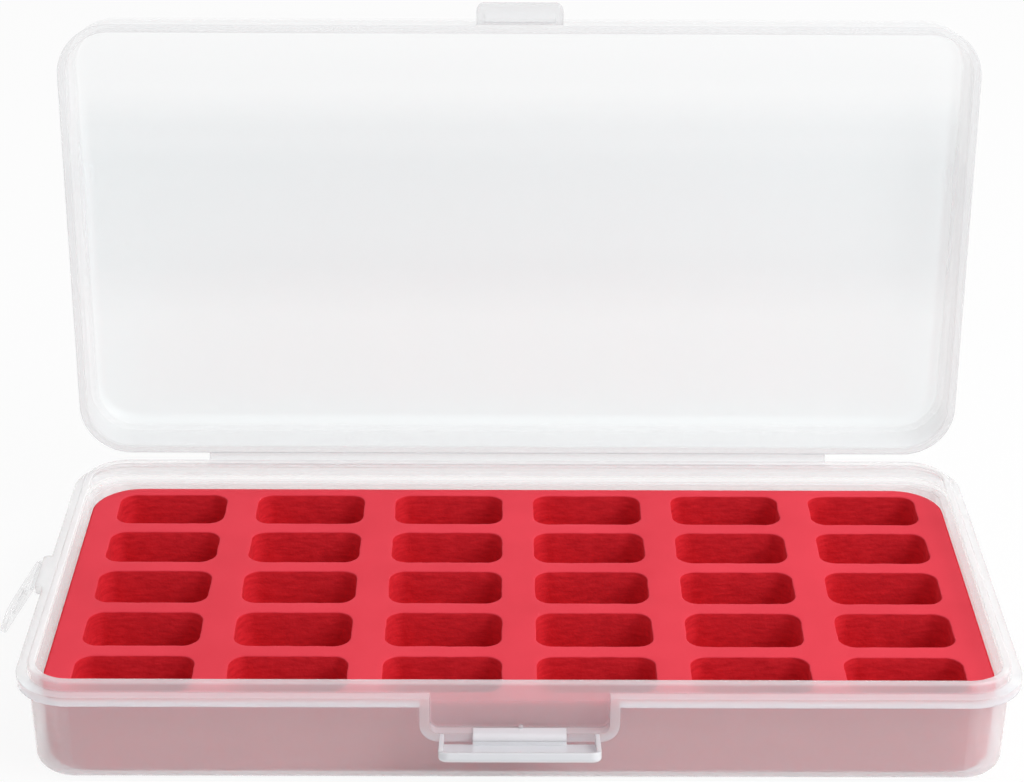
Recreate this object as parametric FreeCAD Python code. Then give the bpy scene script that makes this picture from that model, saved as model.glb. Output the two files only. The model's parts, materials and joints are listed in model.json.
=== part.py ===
"""Bobbin storage case: a hinged polypropylene case with a slotted foam insert.

Millimetres. X runs along the case, Y from the latch to the lid hinge, Z up.
The origin is the centre of the tray's underside. The lid stands open.
"""
import FreeCAD, Part
import math
import os

# Foam insert and its bobbin slots
slot_columns = 6
slot_rows = 5
slot_length = 20.9
slot_width = 11.85
slot_depth = 12.0
slot_corner_radius = 3.0
slot_pitch_x = 27.0
slot_pitch_y = 15.33
foam_margin_side = 5.2
foam_margin_front = 3.8
foam_margin_back = 2.8
foam_thickness = 14.4
foam_corner_radius = 9.0
foam_clearance = 0.2

# Tray
floor_thickness = 0.8
lip_thickness = 1.5
lip_height = 1.9
lip_edge_radius = 0.4
foam_recess = 3.2
wall_draft = 0.5
cavity_corner_radius = 6.5
cavity_edge_radius = 1.0
tray_edge_radius = 2.7
ledge_width = 2.0
flange_thickness = 1.7

# Lid
lid_height = 11.5
lid_panel_thickness = 1.2
lid_draft = 1.6
lid_edge_radius = 2.5
lid_lip_clearance = 0.5
lid_seat_gap = 0.1
lid_open_angle = 91.2
catch_width = 16.2
catch_projection = 4.1
catch_thickness = 1.4
catch_corner_radius = 1.5
catch_ridge_height = 0.7
catch_ridge_width = 1.9
catch_ridge_inset = 0.8

# Film hinges
film_thickness = 0.3
fold_bead_radius = 0.3
fold_clearance = 0.05
lid_film_thickness = 0.4
lid_film_length = 123.0
lid_film_reach = 1.5

# Latch
bay_width = 30.7
bay_depth = 6.8
bay_corner_radius = 3.2
bay_root = 0.6
gate_mark_radius = 0.4
gate_mark_height = 0.5
gate_mark_x = 0.2
latch_film_width = 16.0
latch_film_reach = 1.1
flap_width = 27.3
flap_thickness = 1.0
flap_offset = 0.95
flap_corner_radius = 1.8
flap_edge_radius = 0.7
flap_rest_angle = 21.5
stem_thickness = 1.0
cheek_thickness = 0.8
cheek_height = 1.8
hook_depth = 0.7
hook_thickness = 0.9
hook_clearance = 0.15

# Hang tab
hang_tab_width = 10.4
hang_tab_length = 12.0
hang_tab_thickness = 1.0
hang_tab_corner_radius = 2.5
hang_hole_radius = 2.5
hang_hole_offset = 6.6
hang_tab_hang_angle = 32.5
bracket_projection = 1.5
bracket_margin = 0.5
film_gap = 0.4

# Sizes that follow from the foam outwards
slots_length = (slot_columns - 1) * slot_pitch_x + slot_length
slots_depth = (slot_rows - 1) * slot_pitch_y + slot_width
foam_length = slots_length + 2 * foam_margin_side
foam_depth = slots_depth + foam_margin_front + foam_margin_back
foam_shift_y = (foam_margin_back - foam_margin_front) / 2
cavity_length = foam_length + 2 * foam_clearance
cavity_depth = slots_depth + 2 * (foam_margin_front + foam_clearance)
lip_length = cavity_length + 2 * lip_thickness
lip_depth = cavity_depth + 2 * lip_thickness
lip_corner_radius = cavity_corner_radius + lip_thickness
flange_length = lip_length + 2 * ledge_width
flange_depth = lip_depth + 2 * ledge_width
flange_corner_radius = lip_corner_radius + ledge_width
foam_top = floor_thickness + foam_thickness
ledge_z = foam_top + foam_recess
lip_top = ledge_z + lip_height
shelf_z = ledge_z - bay_depth
front_y = -flange_depth / 2
back_y = flange_depth / 2
left_x = -flange_length / 2
lid_seat_z = ledge_z + lid_seat_gap

# Hinge axes
lid_axis_y = back_y + lid_film_reach
lid_axis_z = ledge_z + lid_seat_gap / 2
latch_axis_y = front_y - latch_film_reach
latch_axis_z = shelf_z - stem_thickness / 2
hang_film_reach = hang_tab_thickness / 2 + film_gap / 2
hang_axis_x = left_x - bracket_projection - hang_film_reach
hang_axis_z = ledge_z - flange_thickness / 2
fold_start = fold_bead_radius + fold_clearance

X_AXIS = FreeCAD.Vector(1, 0, 0)
Y_AXIS = FreeCAD.Vector(0, 1, 0)
Z_AXIS = FreeCAD.Vector(0, 0, 1)


def box(x0, x1, y0, y1, z0, z1):
    """Box between two opposite corners."""
    return Part.makeBox(x1 - x0, y1 - y0, z1 - z0, FreeCAD.Vector(x0, y0, z0))


def rounded_wire(length, depth, radius, z):
    """Rounded rectangle centred on the Z axis, at height z."""
    half_x = length / 2
    half_y = depth / 2
    reach = radius * (1 - 0.5 ** 0.5)
    edges = []
    corners = ((1, 1), (-1, 1), (-1, -1), (1, -1))
    arcs = []
    for sx, sy in corners:
        on_x = FreeCAD.Vector(sx * half_x, sy * (half_y - radius), z)
        on_y = FreeCAD.Vector(sx * (half_x - radius), sy * half_y, z)
        middle = FreeCAD.Vector(sx * (half_x - reach), sy * (half_y - reach), z)
        start, end = (on_x, on_y) if sx * sy > 0 else (on_y, on_x)
        arcs.append((start, middle, end))
    for index, (start, middle, end) in enumerate(arcs):
        following_start = arcs[(index + 1) % len(arcs)][0]
        edges.append(Part.Arc(start, middle, end).toShape())
        edges.append(Part.makeLine(end, following_start))
    return Part.Wire(edges)


def rounded_block(length, depth, radius, z0, z1):
    """Upright block with rounded plan corners."""
    face = Part.Face(rounded_wire(length, depth, radius, z0))
    return face.extrude(Z_AXIS * (z1 - z0))


def drafted_block(length, depth, radius, z_wide, z_narrow, inset):
    """Block with rounded plan corners that narrows by inset on each side."""
    wide = rounded_wire(length, depth, radius, z_wide)
    narrow = rounded_wire(length - 2 * inset, depth - 2 * inset, radius - inset, z_narrow)
    return Part.makeLoft([wide, narrow], True, True)


def edges_at(shape, z):
    """Edges that lie in the plane at height z."""
    flat = 1e-4
    return [e for e in shape.Edges if all(abs(v.Z - z) < flat for v in e.Vertexes)]


def edges_on_front(shape, y, z_above):
    """Edges that lie in the upright plane at y, above a height."""
    flat = 1e-4
    on_plane = [e for e in shape.Edges if all(abs(v.Y - y) < flat for v in e.Vertexes)]
    return [e for e in on_plane if e.CenterOfMass.z > z_above + flat]


def edges_along(shape, axis, keep):
    """Straight edges along an axis whose middle point passes the keep test."""
    parallel = 0.999
    found = []
    for edge in shape.Edges:
        run = edge.Vertexes[-1].Point - edge.Vertexes[0].Point
        along = run.Length > 0 and abs(run.dot(axis)) > parallel * run.Length
        if along and keep(edge.CenterOfMass):
            found.append(edge)
    return found


def turned(shape, centre, axis, angle):
    """Copy of a shape turned about an axis through centre."""
    copy = shape.copy()
    copy.rotate(centre, axis, angle)
    return copy


def draft_at(z):
    """How far the tray's wall stands in from its top outline at height z."""
    return wall_draft * (ledge_z - z) / ledge_z


def cavity_block(length, depth, radius, z_top, z_bottom):
    """Block that follows the tray's inner walls between two heights, with eased lower edges."""
    block = drafted_block(
        length - 2 * draft_at(z_top),
        depth - 2 * draft_at(z_top),
        radius - draft_at(z_top),
        z_top,
        z_bottom,
        draft_at(z_bottom) - draft_at(z_top),
    )
    return block.makeFillet(cavity_edge_radius, edges_at(block, z_bottom))


def make_latch_bay():
    """The flange where it dips to a shelf below the lid's catch."""
    half_outer = bay_width / 2 + flange_thickness
    back = front_y + ledge_width + bay_root
    shell = box(-half_outer, half_outer, front_y, back, shelf_z - flange_thickness, ledge_z)
    low_corner = edges_along(shell, Y_AXIS, lambda p: p.z < shelf_z)
    shell = shell.makeFillet(bay_corner_radius, low_corner)
    return shell.cut(make_bay_room(back))


def make_bay_room(back):
    """The space inside the latch bay."""
    half = bay_width / 2
    room = box(-half, half, front_y, back, shelf_z, ledge_z)
    inner_corner = edges_along(room, Y_AXIS, lambda p: p.z < shelf_z + flange_thickness)
    return room.makeFillet(bay_corner_radius - flange_thickness, inner_corner)


def make_tray():
    """Tray shell with lip, flange, latch bay and hang tab bracket."""
    body = drafted_block(lip_length, lip_depth, lip_corner_radius, ledge_z, 0, wall_draft)
    body = body.makeFillet(tray_edge_radius, edges_at(body, 0))
    lip = rounded_block(lip_length, lip_depth, lip_corner_radius, ledge_z, lip_top)
    flange = rounded_block(
        flange_length, flange_depth, flange_corner_radius, ledge_z - flange_thickness, ledge_z
    )
    flange = flange.cut(make_bay_room(front_y + ledge_width))
    gate_mark = Part.makeCylinder(
        gate_mark_radius,
        gate_mark_height,
        FreeCAD.Vector(gate_mark_x, front_y + ledge_width - gate_mark_radius, shelf_z),
        Z_AXIS,
    )
    half_bracket = hang_tab_width / 2 + bracket_margin
    bracket = box(
        left_x - bracket_projection, left_x, -half_bracket, half_bracket,
        ledge_z - flange_thickness, ledge_z,
    )
    outer_corners = edges_along(bracket, Z_AXIS, lambda p: p.x < left_x - bracket_projection / 2)
    bracket = bracket.makeFillet(bracket_projection / 2, outer_corners)
    shell = body.multiFuse([lip, flange, make_latch_bay(), gate_mark, bracket])
    cavity = cavity_block(cavity_length, cavity_depth, cavity_corner_radius, ledge_z, floor_thickness)
    mouth = rounded_block(cavity_length, cavity_depth, cavity_corner_radius, ledge_z, lip_top)
    shell = shell.cut(cavity.fuse(mouth)).removeSplitter()
    return shell.makeFillet(lip_edge_radius, edges_at(shell, lip_top))


def make_foam():
    """Foam block that fills the tray, with blind bobbin slots."""
    block = cavity_block(foam_length, foam_depth, foam_corner_radius, foam_top, floor_thickness)
    block.translate(Y_AXIS * foam_shift_y)
    slots = []
    for column in range(slot_columns):
        for row in range(slot_rows):
            slot = rounded_block(
                slot_length, slot_width, slot_corner_radius, foam_top - slot_depth, foam_top
            )
            slot.translate(FreeCAD.Vector(
                (column - (slot_columns - 1) / 2) * slot_pitch_x,
                (row - (slot_rows - 1) / 2) * slot_pitch_y,
                0,
            ))
            slots.append(slot)
    return block.cut(slots)


def make_lid_closed():
    """Lid shell with its catch tab, as it lies on the tray."""
    top = lid_seat_z + lid_height
    outer = drafted_block(
        flange_length, flange_depth, flange_corner_radius, lid_seat_z, top, lid_draft
    )
    outer = outer.makeFillet(lid_edge_radius, edges_at(outer, top))
    ceiling = top - lid_panel_thickness
    inner = drafted_block(
        lip_length + 2 * lid_lip_clearance,
        lip_depth + 2 * lid_lip_clearance,
        lip_corner_radius + lid_lip_clearance,
        lid_seat_z,
        ceiling,
        lid_draft * (ceiling - lid_seat_z) / lid_height,
    )
    inner = inner.makeFillet(lid_edge_radius - lid_panel_thickness, edges_at(inner, ceiling))
    catch = make_catch()
    return outer.fuse(catch).cut(inner).removeSplitter()


def make_catch():
    """Tab on the lid's front edge that the latch flap hooks over, with a ridge below it."""
    half = catch_width / 2
    root = front_y + lid_draft
    tip = front_y - catch_projection
    tab = box(-half, half, tip, root, lid_seat_z, lid_seat_z + catch_thickness)
    tab = tab.makeFillet(catch_corner_radius, edges_along(tab, Z_AXIS, lambda p: p.y < front_y))
    ridge_back = front_y - catch_ridge_inset
    ridge_front = ridge_back - catch_ridge_width
    low = lid_seat_z - catch_ridge_height
    points = [
        FreeCAD.Vector(-half + catch_corner_radius, ridge_back, lid_seat_z),
        FreeCAD.Vector(-half + catch_corner_radius, ridge_back, low),
        FreeCAD.Vector(-half + catch_corner_radius, ridge_front, lid_seat_z),
    ]
    section = Part.Face(Part.makePolygon(points + points[:1]))
    ridge = section.extrude(X_AXIS * (catch_width - 2 * catch_corner_radius))
    return tab.fuse(ridge)


def opened(shape):
    """A piece of the closed lid, moved to where the lid stands open."""
    return turned(shape, FreeCAD.Vector(0, lid_axis_y, lid_axis_z), X_AXIS, -lid_open_angle)


def make_lid_fold():
    """Round fold line on the lid hinge's axis."""
    start = FreeCAD.Vector(-lid_film_length / 2, lid_axis_y, lid_axis_z)
    return Part.makeCylinder(fold_bead_radius, lid_film_length, start, X_AXIS)


def make_lid_hinge_tray_leaf():
    """Film from the tray's flange to the fold line."""
    half = lid_film_length / 2
    leaf = box(-half, half, back_y, lid_axis_y, ledge_z - lid_film_thickness, ledge_z)
    return leaf.fuse(make_lid_fold()).removeSplitter()


def make_lid_hinge_lid_leaf():
    """Film from the lid's rim to the fold line, as it lies when closed."""
    half = lid_film_length / 2
    return box(
        -half, half, back_y, lid_axis_y - fold_start, lid_seat_z, lid_seat_z + lid_film_thickness
    )


def make_latch_film():
    """Film from the shelf to the latch flap, with its round fold line."""
    half = latch_film_width / 2
    strip = box(
        -half, half, latch_axis_y, front_y,
        latch_axis_z - film_thickness / 2, latch_axis_z + film_thickness / 2,
    )
    start = FreeCAD.Vector(-half, latch_axis_y, latch_axis_z)
    fold = Part.makeCylinder(fold_bead_radius, latch_film_width, start, X_AXIS)
    return strip.fuse(fold).removeSplitter()


def closed_flap_lean():
    """Lean of the closed flap from upright, in degrees, at which it clears the catch's edge."""
    out = catch_projection - latch_film_reach
    up = lid_seat_z - latch_axis_z
    room = flap_offset - hook_clearance
    return math.degrees(math.atan2(out, up) - math.asin(room / math.hypot(out, up)))


def hook_height():
    """Distance along the flap from the hinge axis to the underside of its hook."""
    lean = math.radians(closed_flap_lean())
    out = catch_projection - latch_film_reach
    up = lid_seat_z + catch_thickness - latch_axis_z
    return out * math.sin(lean) + up * math.cos(lean) + hook_clearance


def make_latch_flap():
    """Latch flap at rest: stem, side cheeks, and a plate with a raised rim that hooks over the catch."""
    half = flap_width / 2
    inner = latch_axis_y - flap_offset
    outer = inner - flap_thickness
    low = latch_axis_z - stem_thickness / 2
    tip = latch_axis_z + hook_height() + hook_thickness
    rim = inner + hook_depth
    plate = box(-half, half, outer, rim, low, tip)
    tip_corners = edges_along(plate, Y_AXIS, lambda p: p.z > latch_axis_z + hook_height())
    plate = plate.makeFillet(flap_corner_radius, tip_corners)
    plate = plate.makeFillet(flap_edge_radius, edges_on_front(plate, outer, low))
    stem = box(
        -latch_film_width / 2, latch_film_width / 2, inner, latch_axis_y - fold_start,
        low, low + stem_thickness,
    )
    half_pocket = half - cheek_thickness
    pocket = box(-half_pocket, half_pocket, inner, rim, low, tip - hook_thickness)
    pocket_corners = edges_along(pocket, Y_AXIS, lambda p: p.z > latch_axis_z)
    pocket = pocket.makeFillet(flap_corner_radius - cheek_thickness, pocket_corners)
    cheek_tip = tip - flap_corner_radius
    side = [
        FreeCAD.Vector(-half, inner, low),
        FreeCAD.Vector(-half, inner + cheek_height, low),
        FreeCAD.Vector(-half, rim, cheek_tip),
        FreeCAD.Vector(-half, inner, cheek_tip),
    ]
    cheek = Part.Face(Part.makePolygon(side + side[:1])).extrude(X_AXIS * cheek_thickness)
    other_cheek = cheek.copy()
    other_cheek.translate(X_AXIS * (flap_width - cheek_thickness))
    flap = plate.cut(pocket).multiFuse([stem, cheek, other_cheek]).removeSplitter()
    centre = FreeCAD.Vector(0, latch_axis_y, latch_axis_z)
    return turned(flap, centre, X_AXIS, 90 - flap_rest_angle)


def make_hang_tab_film():
    """Film from the bracket to the hang tab, with its round fold line."""
    half = hang_tab_width / 2
    strip = box(
        hang_axis_x, left_x - bracket_projection, -half, half,
        hang_axis_z - film_thickness / 2, hang_axis_z + film_thickness / 2,
    )
    start = FreeCAD.Vector(hang_axis_x, -half, hang_axis_z)
    fold = Part.makeCylinder(fold_bead_radius, hang_tab_width, start, Y_AXIS)
    return strip.fuse(fold).removeSplitter()


def make_hang_tab():
    """Hang tab at rest, with its peg hole."""
    half = hang_tab_width / 2
    root = hang_axis_x - fold_start
    tip = hang_axis_x - hang_tab_length
    low = hang_axis_z - hang_tab_thickness / 2
    plate = box(tip, root, -half, half, low, low + hang_tab_thickness)
    outer_corners = edges_along(plate, Z_AXIS, lambda p: p.x < hang_axis_x - hang_hole_offset)
    plate = plate.makeFillet(hang_tab_corner_radius, outer_corners)
    hole_centre = FreeCAD.Vector(hang_axis_x - hang_hole_offset, 0, low)
    plate = plate.cut(Part.makeCylinder(hang_hole_radius, hang_tab_thickness, hole_centre, Z_AXIS))
    centre = FreeCAD.Vector(hang_axis_x, 0, hang_axis_z)
    return turned(plate, centre, Y_AXIS, hang_tab_hang_angle - 90)


PIECES = {
    "tray": make_tray(),
    "foam_insert": make_foam(),
    "lid": opened(make_lid_closed()),
    "lid_hinge_tray_leaf": make_lid_hinge_tray_leaf(),
    "lid_hinge_lid_leaf": opened(make_lid_hinge_lid_leaf()),
    "latch_hinge_film": make_latch_film(),
    "latch_flap": make_latch_flap(),
    "hang_tab_hinge_film": make_hang_tab_film(),
    "hang_tab": make_hang_tab(),
}

os.makedirs("parts", exist_ok=True)
for name, shape in PIECES.items():
    shape.exportStep(f"parts/{name}.step")
    print(name, shape.ShapeType, len(shape.Solids), shape.isValid(), round(shape.Volume, 2))
print("closed flap lean", round(closed_flap_lean(), 2), "hook height", round(hook_height(), 2))
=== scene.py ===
"""Looks of the bobbin storage case: frosted plastic, red slotted foam, film hinges, studio light."""
import json
import math

import bmesh
import bpy
from mathutils import Matrix, Vector, noise
from mathutils.geometry import delaunay_2d_cdt


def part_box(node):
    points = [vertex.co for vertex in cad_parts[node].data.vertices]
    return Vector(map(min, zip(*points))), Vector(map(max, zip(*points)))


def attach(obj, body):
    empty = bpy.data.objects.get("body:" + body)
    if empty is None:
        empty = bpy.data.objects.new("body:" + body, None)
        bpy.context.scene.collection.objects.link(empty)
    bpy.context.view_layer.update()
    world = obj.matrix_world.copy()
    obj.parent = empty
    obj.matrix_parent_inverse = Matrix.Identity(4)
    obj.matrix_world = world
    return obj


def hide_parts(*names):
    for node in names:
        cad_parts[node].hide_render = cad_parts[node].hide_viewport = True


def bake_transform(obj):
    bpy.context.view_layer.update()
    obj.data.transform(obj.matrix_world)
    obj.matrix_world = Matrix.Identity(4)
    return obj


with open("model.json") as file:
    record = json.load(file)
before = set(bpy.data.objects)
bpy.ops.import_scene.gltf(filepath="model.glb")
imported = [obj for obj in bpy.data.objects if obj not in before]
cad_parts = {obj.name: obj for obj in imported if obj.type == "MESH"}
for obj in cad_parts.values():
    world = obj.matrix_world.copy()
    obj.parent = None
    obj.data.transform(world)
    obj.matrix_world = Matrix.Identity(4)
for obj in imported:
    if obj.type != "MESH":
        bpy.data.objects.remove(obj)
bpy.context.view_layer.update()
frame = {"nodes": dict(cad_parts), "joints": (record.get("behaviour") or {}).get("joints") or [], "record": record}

MM = 0.001
SEED = 15
SHARP_ANGLE = 50.0

# Camera, measured from the centre of the foam's top, in millimetres and degrees
CAMERA_FROM_FOAM = (-3.46, -424.13, 240.23)
CAMERA_PITCH = 25.259
CAMERA_YAW = 0.282
CAMERA_ROLL = 0.288
CAMERA_LENS = 92.36

# Foam insert, in millimetres
SLOT_LENGTH = 20.9
SLOT_WIDTH = 11.85
SLOT_DEPTH = 12.0
SLOT_CORNER = 3.0
SLOT_RIM = 0.2
SLOT_FLOOR_ROUND = 1.2
SLOT_WAVER = 0.12
FOAM_CORNER = 9.0
FOAM_EDGE = 0.35
FOAM_SETTLE = 0.02
FOAM_DRAFT = 0.38
FOAM_FOOT = 0.8
FOAM_PITCH = 1.6
ROUND_STEPS = 4
WALL_RINGS = 9
SIDE_RINGS = 6
WAVER_SLOW = 0.35
WAVER_QUICK = 1.5
WAVER_QUICK_SHARE = 0.4
SKIN_LIFT = 0.06
SKIN_WAVE = 0.12
SKIN_FROM_SLOT = 0.4
SKIN_FROM_EDGE = (1.008, 1.016)
SKIN_REDS = ((0.72, 0.034, 0.058), (0.78, 0.041, 0.068))
CUT_REDS = ((0.62, 0.015, 0.027), (0.78, 0.026, 0.041))

# Plastic, in millimetres: edge rounds, the tray's wall outline, and how milky its places are, with painted light
# and shade on the tray's front, the strip above its foam and the lid
EDGE_ROUND = 0.35
EDGE_GLOW = 0.9
LIGHT_REACH = 2.5
WALL_HALF_LENGTH = 84.85
WALL_HALF_DEPTH = 42.085
WALL_CORNER = 8.0
LEDGE_BLEND = 0.3
LIP_STARTS = 0.5
LIP_FULL = 0.1
FOAM_LINE_BLEND = 0.7
# The front depths, the front tint and the rim cover's second value paint shade on the tray's front: milkier,
# greyer and bluer. The tray cover's first value keeps the strip above the foam at the sides and back clear,
# painted light that shows it whiter.
FRONT_SHADE_STARTS = -36.0
FRONT_SHADE_FULL = -40.0
TRAY_COVER_AND_LIGHT = (0.10, 0.43)
RIM_COVER_AND_SHADE = (0.44, 0.62)
TRAY_TINT = (0.93, 0.95, 0.965)
FRONT_SHADE_TINT = (0.88, 0.93, 1.0)
# Milkiness of the lid's panel by height, painted shade: greyest across the middle, clearest and whitest towards
# the free edge
LID_SHADE_COVER = (
    (20.5, 0.26), (43.0, 0.25), (58.0, 0.41), (76.0, 0.45), (83.0, 0.38), (93.0, 0.14), (104.0, 0.08)
)
LID_EDGE_COVER = 0.48
LID_TINT = (0.88, 0.95, 0.97)
# The lid's walls, at depths less than these, are painted greyer in shade by their cover and tint
LID_WALL_SHADE_STARTS = 55.5
LID_WALL_SHADE_FULL = 53.5
LID_WALL_SHADE_COVER = 0.38
LID_WALL_SHADE_TINT = (0.81, 0.83, 0.85)
PALER = 1.03
TRAY_LOOK = {"clarity": (0.36, 0.30), "spread": 0.6}
LID_LOOK = {"clarity": (0.40, 0.35)}
TAB_LOOK = {"clarity": (0.40, 0.35), "cover": (0.22, 0.40), "tint": (0.95, 0.96, 0.98)}
# The flap's and the fold's tints are painted shade: the same plastic as the tray, made a darker grey
FLAP_LOOK = {"clarity": (0.05, 0.04), "cover": (0.97, 0.98), "tint": (0.735, 0.74, 0.775), "spread": 0.5}
FOLD_LOOK = {"clarity": (0.06, 0.05), "cover": (0.94, 0.96), "tint": (0.79, 0.77, 0.80)}

# Film hinges, in millimetres and degrees
FILM_GAP = 0.02
FILM_RIPPLE = 0.12
FILM_COLUMN = 1.2
RIPPLES_PER_METRE = 420.0
LID_FILM_SAG = 0.3
SHELF_STEPS = 4
BEND_STEPS = 12
TAB_BEND_STEPS = 10
LID_FILM = 0.4
TAB_FILM = 0.3
SHELF_SKIN = 0.12
SHELF_RUN = 1.5
FOLD_START = 0.35
STEM_HALF = 0.5
FLAP_REST_ANGLE = 21.5
HANG_ANGLE = 32.5

# Studio, in metres and watts
WORLD_LIGHT = 0.57
FLOOR_HALF = 3.0
FLOOR_DROP = 0.0003
FLOOR_WHITE = 0.88
FLOOR_GLOW = 0.9
KEY_PLACE = (0.65, -0.25, 0.7)
KEY_TARGET = (0, 0, 0.02)
KEY_SIZE = 0.6
KEY_POWER = 6.8


def joint(name):
    """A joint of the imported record."""
    return next(j for j in frame["joints"] if j["name"] == name)


def node_tree(name):
    """New material with an empty node tree, its shader and its output."""
    material = bpy.data.materials.new(name)
    material.use_nodes = True
    nodes = material.node_tree.nodes
    nodes.clear()
    output = nodes.new("ShaderNodeOutputMaterial")
    shader = nodes.new("ShaderNodeBsdfPrincipled")
    material.node_tree.links.new(shader.outputs["BSDF"], output.inputs["Surface"])
    return material, nodes, material.node_tree.links, shader


def noise_node(nodes, links, coordinates, scale, detail=3.0, stretch=(1, 1, 1)):
    """Noise texture in object space, in features per metre."""
    mapping = nodes.new("ShaderNodeMapping")
    mapping.inputs["Scale"].default_value = stretch
    texture = nodes.new("ShaderNodeTexNoise")
    texture.inputs["Scale"].default_value = scale
    texture.inputs["Detail"].default_value = detail
    links.new(coordinates.outputs["Object"], mapping.inputs["Vector"])
    links.new(mapping.outputs["Vector"], texture.inputs["Vector"])
    return texture


def ramp_node(nodes, links, source, low, high, low_at=0.3, high_at=0.7):
    """Colour ramp between two colours over a value."""
    ramp = nodes.new("ShaderNodeValToRGB")
    ramp.color_ramp.elements[0].position = low_at
    ramp.color_ramp.elements[0].color = (*low, 1)
    ramp.color_ramp.elements[1].position = high_at
    ramp.color_ramp.elements[1].color = (*high, 1)
    links.new(source, ramp.inputs["Fac"])
    return ramp.outputs["Color"]


def bump_node(nodes, links, source, distance, strength=1.0, under=None):
    """Bump from a noise value, on top of another bump where one is given."""
    bump = nodes.new("ShaderNodeBump")
    bump.inputs["Strength"].default_value = strength
    bump.inputs["Distance"].default_value = distance
    links.new(source.outputs["Fac"], bump.inputs["Height"])
    if under is not None:
        links.new(under.outputs["Normal"], bump.inputs["Normal"])
    return bump


def range_node(nodes, links, value, low, high, from_low=0.0, from_high=1.0):
    """Value mapped from one range to another, whose ends are numbers or values of their own."""
    mapped = nodes.new("ShaderNodeMapRange")
    mapped.inputs["From Min"].default_value = from_low
    mapped.inputs["From Max"].default_value = from_high
    for name, end in (("To Min", low), ("To Max", high)):
        if isinstance(end, bpy.types.NodeSocket):
            links.new(end, mapped.inputs[name])
        else:
            mapped.inputs[name].default_value = end
    links.new(value, mapped.inputs["Value"])
    return mapped.outputs["Result"]


def flatness(nodes, links, bevel):
    """1 on open faces, less along edges, from how far a rounded edge would turn the surface."""
    geometry = nodes.new("ShaderNodeNewGeometry")
    turn = nodes.new("ShaderNodeVectorMath")
    turn.operation = "DOT_PRODUCT"
    links.new(bevel.outputs["Normal"], turn.inputs[0])
    links.new(geometry.outputs["Normal"], turn.inputs[1])
    return turn.outputs["Value"]


def larger(nodes, links, first, second):
    """The larger of two values."""
    pick = nodes.new("ShaderNodeMath")
    pick.operation = "MAXIMUM"
    links.new(first, pick.inputs[0])
    links.new(second, pick.inputs[1])
    return pick.outputs["Value"]


def vector_step(nodes, links, operation, value, by=None):
    """One vector operation, by a constant vector where it takes one."""
    step = nodes.new("ShaderNodeVectorMath")
    step.operation = operation
    links.new(value, step.inputs[0])
    if by is not None:
        step.inputs[1].default_value = by
    return step.outputs["Value" if operation == "LENGTH" else "Vector"]


def places(nodes, links, coordinates):
    """Depth and height of the point as the object rests, in metres."""
    parts = nodes.new("ShaderNodeSeparateXYZ")
    links.new(coordinates.outputs["Object"], parts.inputs["Vector"])
    return parts.outputs["Y"], parts.outputs["Z"]


def tray_rims(nodes, links, coordinates):
    """1 on the tray's thick rims, which stand out from its walls, and on its lip's top, 0 on its walls."""
    radius = WALL_CORNER * MM
    core = (WALL_HALF_LENGTH * MM - radius, WALL_HALF_DEPTH * MM - radius, 0)
    plan = vector_step(nodes, links, "MULTIPLY", coordinates.outputs["Object"], (1, 1, 0))
    past = vector_step(nodes, links, "SUBTRACT", vector_step(nodes, links, "ABSOLUTE", plan), core)
    reach = vector_step(nodes, links, "LENGTH", vector_step(nodes, links, "MAXIMUM", past, (0, 0, 0)))
    ledge = range_node(nodes, links, reach, 0, 1, radius, radius + LEDGE_BLEND * MM)
    rise = places(nodes, links, coordinates)[1]
    lip_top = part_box("tray")[1].z
    lip = range_node(nodes, links, rise, 0, 1, lip_top - LIP_STARTS * MM, lip_top - LIP_FULL * MM)
    return larger(nodes, links, ledge, lip)


def tray_zones(nodes, links, coordinates):
    """The tray's rims, tint and cover. Its front is painted in shade, milkier, greyer and bluer than its sides;
    the strip above the foam at its sides and back is kept clear as painted light, whiter and without the foam's
    red bounce.
    """
    depth, rise = places(nodes, links, coordinates)
    foam_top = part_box("foam_insert")[1].z
    front = range_node(nodes, links, depth, 1, 0, FRONT_SHADE_FULL * MM, FRONT_SHADE_STARTS * MM)
    low = range_node(nodes, links, rise, 1, 0, foam_top, foam_top + FOAM_LINE_BLEND * MM)
    cover = range_node(nodes, links, larger(nodes, links, front, low), *TRAY_COVER_AND_LIGHT)
    rim_cover = range_node(nodes, links, front, *RIM_COVER_AND_SHADE)
    tint = ramp_node(nodes, links, front, TRAY_TINT, FRONT_SHADE_TINT, 0, 1)
    return tray_rims(nodes, links, coordinates), tint, (cover, rim_cover)


def lid_zones(nodes, links, coordinates):
    """The lid's tint and cover. Its panel's milkiness changes with height, painted shade that is greyest across
    the middle and whitest towards its free edge; its walls are painted greyer in shade.
    """
    depth, rise = places(nodes, links, coordinates)
    walls = range_node(nodes, links, depth, 1, 0, LID_WALL_SHADE_FULL * MM, LID_WALL_SHADE_STARTS * MM)
    panel = by_height(nodes, links, rise, LID_SHADE_COVER)
    cover = larger(nodes, links, panel, range_node(nodes, links, walls, 0, LID_WALL_SHADE_COVER))
    tint = ramp_node(nodes, links, walls, LID_TINT, LID_WALL_SHADE_TINT, 0, 1)
    return None, tint, (cover, LID_EDGE_COVER)


def by_height(nodes, links, rise, stops):
    """A value that changes with height, by (height in millimetres, value) stops."""
    low, high = stops[0][0], stops[-1][0]
    along = range_node(nodes, links, rise, 0, 1, low * MM, high * MM)
    ramp = nodes.new("ShaderNodeValToRGB")
    ramp.color_ramp.interpolation = "EASE"
    elements = ramp.color_ramp.elements
    for element, value in zip(elements, (stops[0][1], stops[-1][1])):
        element.color = (value, value, value, 1)
    for place, value in stops[1:-1]:
        elements.new((place - low) / (high - low)).color = (value, value, value, 1)
    links.new(along, ramp.inputs["Fac"])
    return ramp.outputs["Color"]


def bevel_node(nodes, radius):
    """Surface direction as if sharp edges had a small round, in millimetres."""
    edge = nodes.new("ShaderNodeBevel")
    edge.samples = 4
    edge.inputs["Radius"].default_value = radius * MM
    return edge


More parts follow.
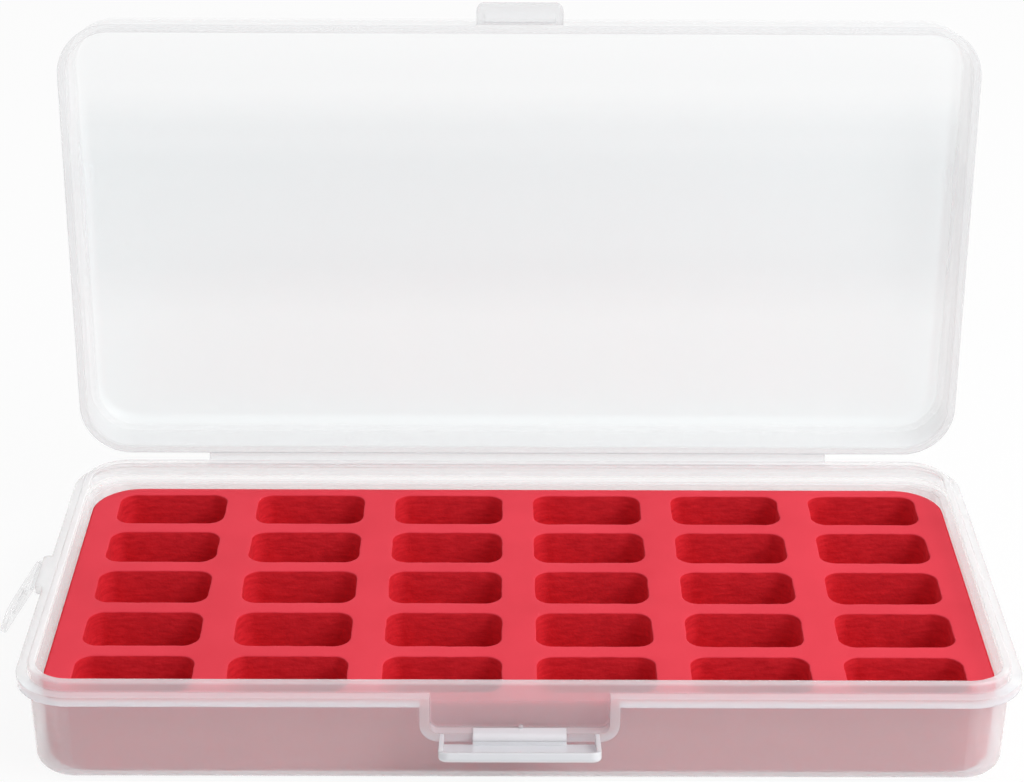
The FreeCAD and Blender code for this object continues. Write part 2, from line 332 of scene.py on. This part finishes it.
def frosted_plastic(name, clarity, cover=None, tint=None, spread=0.0, zones=None):
    """Natural polypropylene: milky, blurring what lies further behind, whiter along edges and rims.

    clarity and cover are (open face, edge) pairs; zones gives rims, tint and cover from place to place.
    """
    material, nodes, links, shader = node_tree(name)
    coordinates = nodes.new("ShaderNodeTexCoord")
    cloud = noise_node(nodes, links, coordinates, 35.0)
    flow = noise_node(nodes, links, coordinates, 260.0, detail=2.0)
    wave = bump_node(nodes, links, flow, 0.00002, 0.5, under=bevel_node(nodes, EDGE_ROUND))
    thick = range_node(nodes, links, flatness(nodes, links, bevel_node(nodes, EDGE_GLOW)), 1, 0, 0.75, 1.0)
    if zones:
        rims, colour, cover = zones(nodes, links, coordinates)
        thick = thick if rims is None else larger(nodes, links, thick, rims)
    else:
        paler = tuple(min(1.0, c * PALER) for c in tint)
        colour = ramp_node(nodes, links, cloud.outputs["Fac"], tint, paler)
    links.new(colour, shader.inputs["Base Color"])
    links.new(range_node(nodes, links, cloud.outputs["Fac"], 0.16, 0.22), shader.inputs["Roughness"])
    links.new(range_node(nodes, links, thick, *cover), shader.inputs["Alpha"])
    links.new(range_node(nodes, links, thick, *clarity), shader.inputs["Transmission Weight"])
    links.new(wave.outputs["Normal"], shader.inputs["Normal"])
    shader.inputs["IOR"].default_value = 1.49
    shader.inputs["Coat Weight"].default_value = 0.12
    shader.inputs["Coat Roughness"].default_value = 0.3
    shader.inputs["Subsurface Weight"].default_value = spread
    shader.inputs["Subsurface Radius"].default_value = (1.0, 1.0, 1.0)
    shader.inputs["Subsurface Scale"].default_value = LIGHT_REACH * MM
    return material


def foam_skin():
    """Closed-cell foam where the sheet's skin is left: matte, with a fine even grain."""
    material, nodes, links, shader = node_tree("foam_skin")
    coordinates = nodes.new("ShaderNodeTexCoord")
    cloud = noise_node(nodes, links, coordinates, 60.0, detail=2.0)
    grain = noise_node(nodes, links, coordinates, 3200.0, detail=4.0)
    colour = ramp_node(nodes, links, cloud.outputs["Fac"], *SKIN_REDS)
    pores = bump_node(nodes, links, grain, 0.00004, 0.5)
    links.new(colour, shader.inputs["Base Color"])
    links.new(pores.outputs["Normal"], shader.inputs["Normal"])
    shader.inputs["Roughness"].default_value = 0.7
    shader.inputs["Specular IOR Level"].default_value = 0.3
    return material


def foam_cut():
    """Foam where the slots are cut: deeper red, open pores and fine level cutter marks."""
    material, nodes, links, shader = node_tree("foam_cut")
    coordinates = nodes.new("ShaderNodeTexCoord")
    grain = noise_node(nodes, links, coordinates, 1500.0, detail=4.0)
    streak = noise_node(nodes, links, coordinates, 700.0, detail=5.0, stretch=(0.6, 0.6, 2.0))
    colour = ramp_node(nodes, links, streak.outputs["Fac"], *CUT_REDS)
    marks = bump_node(nodes, links, streak, 0.00012, 0.5)
    pores = bump_node(nodes, links, grain, 0.00012, 0.6, under=marks)
    links.new(colour, shader.inputs["Base Color"])
    links.new(pores.outputs["Normal"], shader.inputs["Normal"])
    shader.inputs["Roughness"].default_value = 0.9
    shader.inputs["Specular IOR Level"].default_value = 0.15
    return material


def outline(length, depth, radius, arc_steps, run_step):
    """Points round a rounded rectangle about the origin, anticlockwise, all in millimetres."""
    half_x = length / 2 - radius
    half_y = depth / 2 - radius
    centres = ((half_x, half_y), (-half_x, half_y), (-half_x, -half_y), (half_x, -half_y))
    points = []
    for quarter, (cx, cy) in enumerate(centres):
        start = quarter * math.pi / 2
        for step in range(arc_steps + 1):
            angle = start + step * math.pi / 2 / arc_steps
            points.append((cx + radius * math.cos(angle), cy + radius * math.sin(angle)))
        run = 2 * (half_x if quarter % 2 == 0 else half_y)
        divisions = max(1, round(run / run_step))
        nx, ny = centres[(quarter + 1) % 4]
        end_angle = start + math.pi / 2
        ox, oy = radius * math.cos(end_angle), radius * math.sin(end_angle)
        for step in range(1, divisions):
            t = step / divisions
            points.append((cx + (nx - cx) * t + ox, cy + (ny - cy) * t + oy))
    return points


def inset_outline(points, radius, length, depth, inset):
    """The same outline drawn in by inset, point for point."""
    half_x = length / 2 - radius
    half_y = depth / 2 - radius
    moved = []
    for x, y in points:
        corner = Vector((max(-half_x, min(half_x, x)), max(-half_y, min(half_y, y))))
        outward = Vector((x, y)) - corner
        moved.append(tuple(Vector((x, y)) - outward.normalized() * inset))
    return moved


def wavered(points, centre, amount, seed):
    """Outline set at its centre, with the slight waver of a cut in soft foam."""
    placed = []
    for x, y in points:
        slow = Vector((x * WAVER_SLOW, y * WAVER_SLOW, seed))
        quick = Vector((x * WAVER_QUICK, y * WAVER_QUICK, seed * 4))
        aside = Vector((17.0, 5.0, 3.0))
        dx = (noise.noise(slow) + WAVER_QUICK_SHARE * noise.noise(quick)) * amount
        dy = (noise.noise(slow + aside) + WAVER_QUICK_SHARE * noise.noise(quick + aside)) * amount
        placed.append((centre[0] + x + dx, centre[1] + y + dy))
    return placed


def inside(point, polygon):
    """Whether a plan point lies inside a closed plan outline."""
    x, y = point
    within = False
    previous = polygon[-1]
    for current in polygon:
        if (current[1] > y) != (previous[1] > y):
            t = (y - current[1]) / (previous[1] - current[1])
            if x < current[0] + t * (previous[0] - current[0]):
                within = not within
        previous = current
    return within


def add_ring(mesh, points, z):
    """New vertices of one closed ring at height z, from millimetres."""
    return [mesh.verts.new((x * MM, y * MM, z * MM)) for x, y in points]


def bridge(mesh, upper, lower, material_index):
    """Quads between two rings of equal length."""
    count = len(upper)
    for i in range(count):
        j = (i + 1) % count
        face = mesh.faces.new((upper[i], lower[i], lower[j], upper[j]))
        face.material_index = material_index


def quarter_round(radius, steps):
    """(inset, depth) pairs of a rounded rim that starts level and ends upright."""
    pairs = []
    for step in range(steps + 1):
        angle = step * math.pi / 2 / steps
        pairs.append((radius * math.sin(angle), radius * (1 - math.cos(angle))))
    return pairs


def slot_profile():
    """(inset, depth) pairs down a slot's wall, from the rim, which opens outwards, to the floor."""
    pairs = [(inset - SLOT_RIM, drop) for inset, drop in quarter_round(SLOT_RIM, ROUND_STEPS)]
    wall_end = SLOT_DEPTH - SLOT_FLOOR_ROUND
    for ring in range(1, WALL_RINGS + 1):
        pairs.append((0, SLOT_RIM + (wall_end - SLOT_RIM) * ring / WALL_RINGS))
    for step in range(1, ROUND_STEPS + 1):
        angle = step * math.pi / 2 / ROUND_STEPS
        inset = SLOT_FLOOR_ROUND * (1 - math.cos(angle))
        pairs.append((inset, wall_end + SLOT_FLOOR_ROUND * math.sin(angle)))
    return pairs


def block_profile(height):
    """(inset, depth) pairs down the block's side, from its top edge to its foot."""
    pairs = [(FOAM_EDGE - inset, drop) for inset, drop in quarter_round(FOAM_EDGE, 3)]
    foot_start = height - FOAM_FOOT
    for ring in range(1, SIDE_RINGS + 1):
        drop = FOAM_EDGE + (foot_start - FOAM_EDGE) * ring / SIDE_RINGS
        pairs.append((FOAM_DRAFT * drop / height, drop))
    lean = FOAM_DRAFT * foot_start / height
    for step in range(1, ROUND_STEPS + 1):
        angle = step * math.pi / 2 / ROUND_STEPS
        pairs.append((lean + FOAM_FOOT * (1 - math.cos(angle)), foot_start + FOAM_FOOT * math.sin(angle)))
    return pairs


def slot_centres():
    """Plan centres of the slots, in millimetres, from the openings in the record."""
    centres = []
    for opening in frame["record"]["physics"]["openings"]:
        if opening["name"].startswith("slot_"):
            low, high = opening["box_m"]
            centres.append(((low[0] + high[0]) / 2 / MM, (low[1] + high[1]) / 2 / MM))
    return centres


def add_slot(mesh, centre, top, seed):
    """One slot's wall and floor. Returns its rim at the foam's top."""
    base = outline(SLOT_LENGTH, SLOT_WIDTH, SLOT_CORNER, 9, 0.8)
    previous = None
    rim = None
    for inset, depth in slot_profile():
        ring_plan = inset_outline(base, SLOT_CORNER, SLOT_LENGTH, SLOT_WIDTH, inset)
        plan = wavered(ring_plan, centre, SLOT_WAVER, seed + depth * 0.06)
        ring = add_ring(mesh, plan, top - depth)
        if previous is None:
            rim = ring
        else:
            bridge(mesh, previous, ring, 1 if depth > SLOT_RIM else 0)
        previous = ring
    mesh.faces.new(previous).material_index = 1
    return rim


def foam_insert():
    """Foam block with its slots, as one closed mesh."""
    low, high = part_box("foam_insert")
    length = (high.x - low.x) / MM
    depth = (high.y - low.y) / MM
    centre = ((low.x + high.x) / 2 / MM, (low.y + high.y) / 2 / MM)
    top = high.z / MM
    bottom = low.z / MM + FOAM_SETTLE
    mesh = bmesh.new()
    rims = [add_slot(mesh, c, top, SEED + 3.7 * i) for i, c in enumerate(slot_centres())]
    base = outline(length, depth, FOAM_CORNER, 16, 1.6)
    previous = None
    for inset, drop in block_profile(top - bottom):
        plan = inset_outline(base, FOAM_CORNER, length, depth, inset)
        plan = [(centre[0] + x, centre[1] + y) for x, y in plan]
        ring = add_ring(mesh, plan, top - drop)
        if previous is None:
            edge = ring
        else:
            bridge(mesh, previous, ring, 1)
        previous = ring
    mesh.faces.new(previous)
    fill_top(mesh, edge, rims, top)
    bmesh.ops.recalc_face_normals(mesh, faces=mesh.faces)
    return finish_mesh(mesh, "foam_insert_moulded", (foam_skin(), foam_cut()))


def plan_box(points):
    """Least and greatest x, then y, of plan points."""
    xs, ys = zip(*points)
    return min(xs), max(xs), min(ys), max(ys)


def on_skin(point, outer, holes, margin):
    """Whether a plan point lies inside the block's edge and, by a margin, outside the slots."""
    for hole, (x0, x1, y0, y1) in holes:
        near = x0 - margin < point[0] < x1 + margin and y0 - margin < point[1] < y1 + margin
        if near and (margin > 0 or inside(point, hole)):
            return False
    return inside(point, outer)


def skin_points(outer, holes):
    """Even grid of plan points on the skin, clear of the slots and of the block's edge."""
    x0, x1, y0, y1 = plan_box(outer)
    columns = int((x1 - x0) / FOAM_PITCH)
    rows = int((y1 - y0) / FOAM_PITCH)
    spare = []
    for column in range(1, columns):
        for row in range(1, rows):
            point = (x0 + column * FOAM_PITCH, y0 + row * FOAM_PITCH)
            further = (point[0] * SKIN_FROM_EDGE[0], point[1] * SKIN_FROM_EDGE[1])
            if on_skin(point, outer, holes, SKIN_FROM_SLOT) and inside(further, outer):
                spare.append(Vector(point))
    return spare


def fill_top(mesh, edge, rims, top):
    """Skin between the block's edge and the slots' rims, with points enough to lie a little uneven."""
    known = list(edge)
    loops = [list(range(len(edge)))]
    for rim in rims:
        loops.append(list(range(len(known), len(known) + len(rim))))
        known.extend(rim)
    plan = [Vector((v.co.x / MM, v.co.y / MM)) for v in known]
    borders = [(loop[i], loop[(i + 1) % len(loop)]) for loop in loops for i in range(len(loop))]
    outer, *slots = [[tuple(plan[i]) for i in loop] for loop in loops]
    holes = [(slot, plan_box(slot)) for slot in slots]
    spare = skin_points(outer, holes)
    points, _, triangles, origins, _, _ = delaunay_2d_cdt(plan + spare, borders, [], 0, 1e-6)
    placed = {}
    for index, sources in enumerate(origins):
        kept = [s for s in sources if s < len(known)]
        if kept:
            placed[index] = known[kept[0]]
        else:
            x, y = points[index]
            lift = SKIN_LIFT * noise.noise(Vector((x * SKIN_WAVE, y * SKIN_WAVE, SEED)))
            placed[index] = mesh.verts.new((x * MM, y * MM, (top + lift) * MM))
    for a, b, c in triangles:
        middle = (points[a] + points[b] + points[c]) / 3
        if on_skin(tuple(middle), outer, holes, 0):
            mesh.faces.new((placed[a], placed[b], placed[c])).material_index = 0


def finish_mesh(mesh, name, materials):
    """Object made from a bmesh, smooth shaded between its sharp edges, with its materials."""
    for edge in mesh.edges:
        edge.smooth = edge.calc_face_angle(0) < math.radians(SHARP_ANGLE)
    data = bpy.data.meshes.new(name)
    mesh.to_mesh(data)
    mesh.free()
    for polygon in data.polygons:
        polygon.use_smooth = True
    for material in materials:
        data.materials.append(material)
    piece = bpy.data.objects.new(name, data)
    bpy.context.scene.collection.objects.link(piece)
    return piece


def film(name, path, width_axis, width, thicknesses, material):
    """Thin closed strip along a path of points, each with its thickness, and across it along width_axis."""
    columns = max(8, round(width / (FILM_COLUMN * MM)))
    mesh = bmesh.new()
    across = Vector(width_axis)
    rings = []
    for column in range(columns + 1):
        shift = across * (width * (column / columns - 0.5))
        upper = []
        lower = []
        for index, point in enumerate(path):
            before = path[max(0, index - 1)]
            after = path[min(len(path) - 1, index + 1)]
            normal = (after - before).cross(across).normalized()
            share = index / (len(path) - 1)
            freedom = math.sin(math.pi * share)
            ripple = FILM_RIPPLE * MM * freedom * noise.noise((point + shift) * RIPPLES_PER_METRE)
            half = thicknesses[index] / 2
            upper.append(mesh.verts.new(point + shift + normal * (half + ripple)))
            lower.append(mesh.verts.new(point + shift - normal * (half - ripple)))
        rings.append(upper + lower[::-1])
    count = len(rings[0])
    for first, second in zip(rings, rings[1:]):
        for i in range(count):
            j = (i + 1) % count
            mesh.faces.new((first[i], first[j], second[j], second[i]))
    mesh.faces.new(rings[0])
    mesh.faces.new(rings[-1][::-1])
    bmesh.ops.recalc_face_normals(mesh, faces=mesh.faces)
    return finish_mesh(mesh, name, (material,))


def smooth_path(points, steps):
    """Points along a quadratic curve through three places: start, pull and end."""
    start, pull, end = (Vector(p) for p in points)
    path = []
    for step in range(steps + 1):
        t = step / steps
        path.append(start * (1 - t) ** 2 + pull * 2 * t * (1 - t) + end * t ** 2)
    return path


def lid_film(material):
    """Film hinge between the tray's back edge and the lid's rim."""
    low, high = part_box("lid_hinge_tray_leaf")
    lid_low, lid_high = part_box("lid_hinge_lid_leaf")
    axis = Vector(joint("lid_hinge")["pos_m"])
    tray_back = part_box("tray")[1].y
    start = Vector((0, tray_back + FILM_GAP * MM, low.z + LID_FILM / 2 * MM))
    end = Vector((0, (lid_low.y + lid_high.y) / 2, lid_high.z - FILM_GAP * MM))
    sag = Vector((0, LID_FILM_SAG, -LID_FILM_SAG)) * MM
    path = smooth_path((start, axis + sag, end), BEND_STEPS)
    even = [LID_FILM * MM] * len(path)
    piece = film("lid_hinge_strip", path, (1, 0, 0), high.x - low.x, even, material)
    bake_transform(piece)
    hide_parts("lid_hinge_tray_leaf", "lid_hinge_lid_leaf")


def latch_film(material):
    """Film hinge that runs out from the latch shelf's top and over its edge to the flap's stem."""
    low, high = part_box("latch_hinge_film")
    axis = Vector(joint("latch_hinge")["pos_m"])
    shelf = axis.z + STEM_HALF * MM
    rest = math.radians(FLAP_REST_ANGLE)
    lie = shelf + (SHELF_SKIN / 2 + FILM_GAP) * MM
    shares = [1 - step / SHELF_STEPS for step in range(SHELF_STEPS + 1)]
    run = [Vector((0, high.y + SHELF_RUN * MM * share, lie)) for share in shares]
    end = axis + Vector((0, -math.sin(rest), -math.cos(rest))) * (FOLD_START - FILM_GAP) * MM
    bend = smooth_path((run[-1], Vector((0, axis.y, lie)), end), BEND_STEPS)
    path = run[:-1] + bend
    skin = [SHELF_SKIN * MM] * len(run[:-1])
    gain = (TAB_FILM - SHELF_SKIN) / BEND_STEPS
    growth = [(SHELF_SKIN + gain * step) * MM for step in range(BEND_STEPS + 1)]
    piece = film("latch_hinge_strip", path, (1, 0, 0), high.x - low.x, skin + growth, material)
    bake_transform(piece)
    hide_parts("latch_hinge_film")


def hang_film(material):
    """Film hinge between the bracket and the hang tab."""
    low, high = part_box("hang_tab_hinge_film")
    axis = Vector(joint("hang_tab_hinge")["pos_m"])
    hang = math.radians(HANG_ANGLE)
    start = Vector((high.x - FILM_GAP * MM, 0, axis.z))
    end = axis + Vector((-math.sin(hang), 0, -math.cos(hang))) * (FOLD_START - FILM_GAP) * MM
    path = smooth_path((start, axis, end), TAB_BEND_STEPS)
    even = [TAB_FILM * MM] * len(path)
    piece = film("hang_tab_hinge_strip", path, (0, 1, 0), high.y - low.y, even, material)
    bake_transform(piece)
    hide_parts("hang_tab_hinge_film")


def dress():
    """Materials on the CAD pieces, the foam and the film hinges."""
    tray = frosted_plastic("case_plastic", zones=tray_zones, **TRAY_LOOK)
    lid = frosted_plastic("lid_plastic", zones=lid_zones, **LID_LOOK)
    tab = frosted_plastic("tab_plastic", **TAB_LOOK)
    flap = frosted_plastic("flap_plastic", **FLAP_LOOK)
    fold = frosted_plastic("fold_plastic", **FOLD_LOOK)
    for node, material in (("tray", tray), ("lid", lid), ("latch_flap", flap), ("hang_tab", tab)):
        data = frame["nodes"][node].data
        data.materials.clear()
        data.materials.append(material)
    foam = foam_insert()
    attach(foam, "tray")
    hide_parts("foam_insert")
    lid_film(lid)
    latch_film(fold)
    hang_film(tab)


def seen_directly(tree):
    """1 for rays from the camera, a reflection or a see-through surface, 0 for light on surfaces."""
    path = tree.nodes.new("ShaderNodeLightPath")
    total = path.outputs["Is Camera Ray"]
    for ray in ("Is Glossy Ray", "Is Transmission Ray"):
        total = larger(tree.nodes, tree.links, total, path.outputs[ray])
    return total


def studio_world():
    """White studio: plain white where it is seen, soft even light where it falls on things."""
    world = bpy.data.worlds.new("studio")
    bpy.context.scene.world = world
    world.use_nodes = True
    tree = world.node_tree
    tree.nodes.clear()
    output = tree.nodes.new("ShaderNodeOutputWorld")
    mix = tree.nodes.new("ShaderNodeMixShader")
    light = tree.nodes.new("ShaderNodeBackground")
    light.inputs["Color"].default_value = (1.0, 1.0, 1.0, 1)
    light.inputs["Strength"].default_value = WORLD_LIGHT
    seen = tree.nodes.new("ShaderNodeBackground")
    seen.inputs["Color"].default_value = (1, 1, 1, 1)
    seen.inputs["Strength"].default_value = 1.0
    tree.links.new(seen_directly(tree), mix.inputs["Fac"])
    tree.links.new(light.outputs["Background"], mix.inputs[1])
    tree.links.new(seen.outputs["Background"], mix.inputs[2])
    tree.links.new(mix.outputs["Shader"], output.inputs["Surface"])


def studio_floor():
    """Pale floor that stays white where it is lit and keeps the case's shadow."""
    mesh = bmesh.new()
    bmesh.ops.create_grid(mesh, x_segments=8, y_segments=8, size=FLOOR_HALF)
    material = bpy.data.materials.new("studio_floor")
    material.use_nodes = True
    tree = material.node_tree
    tree.nodes.clear()
    output = tree.nodes.new("ShaderNodeOutputMaterial")
    matte = tree.nodes.new("ShaderNodeBsdfDiffuse")
    matte.inputs["Color"].default_value = (FLOOR_WHITE, FLOOR_WHITE, FLOOR_WHITE, 1)
    glow = tree.nodes.new("ShaderNodeEmission")
    glow.inputs["Color"].default_value = (1, 1, 1, 1)
    part = tree.nodes.new("ShaderNodeMath")
    part.operation = "MULTIPLY"
    part.inputs[1].default_value = FLOOR_GLOW
    tree.links.new(seen_directly(tree), part.inputs[0])
    share = tree.nodes.new("ShaderNodeMixShader")
    tree.links.new(part.outputs["Value"], share.inputs["Fac"])
    tree.links.new(matte.outputs["BSDF"], share.inputs[1])
    tree.links.new(glow.outputs["Emission"], share.inputs[2])
    tree.links.new(share.outputs["Shader"], output.inputs["Surface"])
    floor = finish_mesh(mesh, "floor", (material,))
    floor.location.z = -FLOOR_DROP


def area_light(name, place, target, size, power):
    """Square soft box that points at a target."""
    data = bpy.data.lights.new(name, "AREA")
    data.shape = "SQUARE"
    data.size = size
    data.energy = power
    lamp = bpy.data.objects.new(name, data)
    bpy.context.scene.collection.objects.link(lamp)
    lamp.location = place
    lamp.rotation_euler = (Vector(target) - Vector(place)).to_track_quat("-Z", "Y").to_euler()


def photo_camera():
    """Camera at the photograph's place, direction and lens."""
    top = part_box("foam_insert")[1].z
    pitch = math.radians(CAMERA_PITCH)
    yaw = math.radians(CAMERA_YAW)
    roll = math.radians(CAMERA_ROLL)
    forward = Vector((
        math.sin(yaw) * math.cos(pitch), math.cos(yaw) * math.cos(pitch), -math.sin(pitch)
    ))
    level = Vector((math.cos(yaw), -math.sin(yaw), 0))
    above = level.cross(forward)
    right = level * math.cos(roll) + above * math.sin(roll)
    upward = above * math.cos(roll) - level * math.sin(roll)
    turn = Matrix((right, upward, -forward)).transposed().to_4x4()
    place = Vector(CAMERA_FROM_FOAM) * MM + Vector((0, 0, top))
    data = bpy.data.cameras.new("camera")
    data.sensor_width = 36.0
    data.lens = CAMERA_LENS
    data.clip_start = 0.01
    camera = bpy.data.objects.new("camera", data)
    camera.matrix_world = Matrix.Translation(place) @ turn
    bpy.context.scene.collection.objects.link(camera)
    bpy.context.scene.camera = camera


dress()
studio_world()
studio_floor()
area_light("key_light", KEY_PLACE, KEY_TARGET, KEY_SIZE, KEY_POWER)
photo_camera()
bpy.context.scene.view_settings.view_transform = "Standard"
